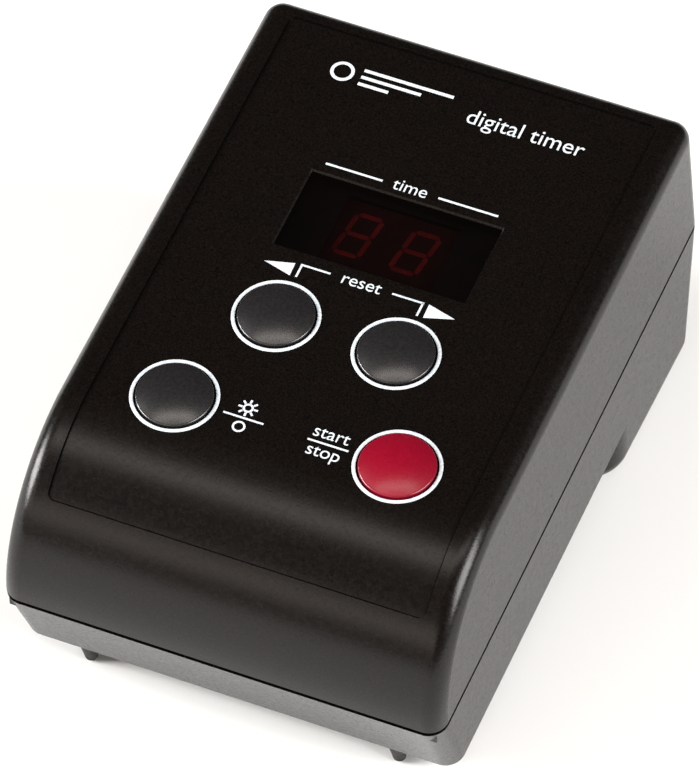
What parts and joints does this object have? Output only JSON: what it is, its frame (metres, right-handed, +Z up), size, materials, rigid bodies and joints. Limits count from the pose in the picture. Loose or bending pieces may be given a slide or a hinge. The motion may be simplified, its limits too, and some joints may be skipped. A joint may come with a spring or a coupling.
{
  "type": "lab timer",
  "caption": "Bench-top mains timer in a sloping black case: rounded front, recessed key panel, digit window, domed push keys, deep rear pod, mains inlet and switched lamp outlet.",
  "frame": {"origin": "centre of the object's footprint on the table", "axes": "+X to the user's right, +Y from the user's side to the rear wall, +Z up from the table"},
  "size_m": [0.0938, 0.1418, 0.0691],
  "materials": {
    "case_black": "fine spark-eroded texture",
    "window_tint": "polished dark red acrylic",
    "cap_grey": "satin",
    "cap_red": "satin",
    "module_black": "smooth",
    "board_green": "solder mask",
    "part_blue": "smooth",
    "white_plastic": "smooth",
    "steel": "bright zinc plated",
    "brass": "tinned",
    "aluminium": "satin anodised",
    "fuse_glass": "clear",
    "lead_brown": "smooth cable sleeve",
    "lead_green": "smooth cable sleeve",
    "cable_grey": "smooth",
    "foot_rubber": "matt"
  },
  "bodies": {
    "case": {"upper_cover": "case_black", "lower_shell": "case_black", "display_window": "window_tint", "tens_key_switch": "module_black", "units_key_switch": "module_black", "light_key_switch": "module_black", "start_key_switch": "module_black", "display_module": "module_black", "control_board": "board_green", "control_screws": "steel", "microcontroller": "module_black", "clock_crystal": "steel", "sounder": "module_black", "digit_resistors": "white_plastic", "power_board": "board_green", "power_screws": "steel", "transformer": "part_blue", "lamp_relay": "part_blue", "fuse_clips": "brass", "fuse_link": "fuse_glass", "smoothing_capacitor": "module_black", "bridge_rectifier": "module_black", "voltage_regulator": "module_black", "heat_sink": "aluminium", "suppressor_capacitor": "white_plastic", "terminal_block": "board_green", "terminal_screws": "steel", "power_header": "module_black", "control_header": "module_black", "ribbon_cable": "cable_grey", "mains_inlet": "module_black", "inlet_blades": "brass", "lamp_outlet": "module_black", "outlet_contacts": "brass", "mains_leads": "lead_brown", "earth_lead": "lead_green", "case_screws": "steel", "front_feet": "foot_rubber"},
    "tens_key": {"tens_key_cap": "cap_grey", "tens_key_plunger": "white_plastic"},
    "units_key": {"units_key_cap": "cap_grey", "units_key_plunger": "white_plastic"},
    "light_key": {"light_key_cap": "cap_grey", "light_key_plunger": "white_plastic"},
    "start_key": {"start_key_cap": "cap_red", "start_key_plunger": "white_plastic"}
  },
  "joints": [
    {"name": "tens_key_press", "type": "slide", "parent": "case", "child": "tens_key", "axis": [0, 0.075, -0.9972], "range_m": [0, 0.001], "stiffness_N_per_m": 800, "springref_m": -0.0005},
    {"name": "units_key_press", "type": "slide", "parent": "case", "child": "units_key", "axis": [0, 0.075, -0.9972], "range_m": [0, 0.001], "stiffness_N_per_m": 800, "springref_m": -0.0005},
    {"name": "light_key_press", "type": "slide", "parent": "case", "child": "light_key", "axis": [0, 0.075, -0.9972], "range_m": [0, 0.001], "stiffness_N_per_m": 800, "springref_m": -0.0005},
    {"name": "start_key_press", "type": "slide", "parent": "case", "child": "start_key", "axis": [0, 0.075, -0.9972], "range_m": [0, 0.001], "stiffness_N_per_m": 800, "springref_m": -0.0005}
  ]
}
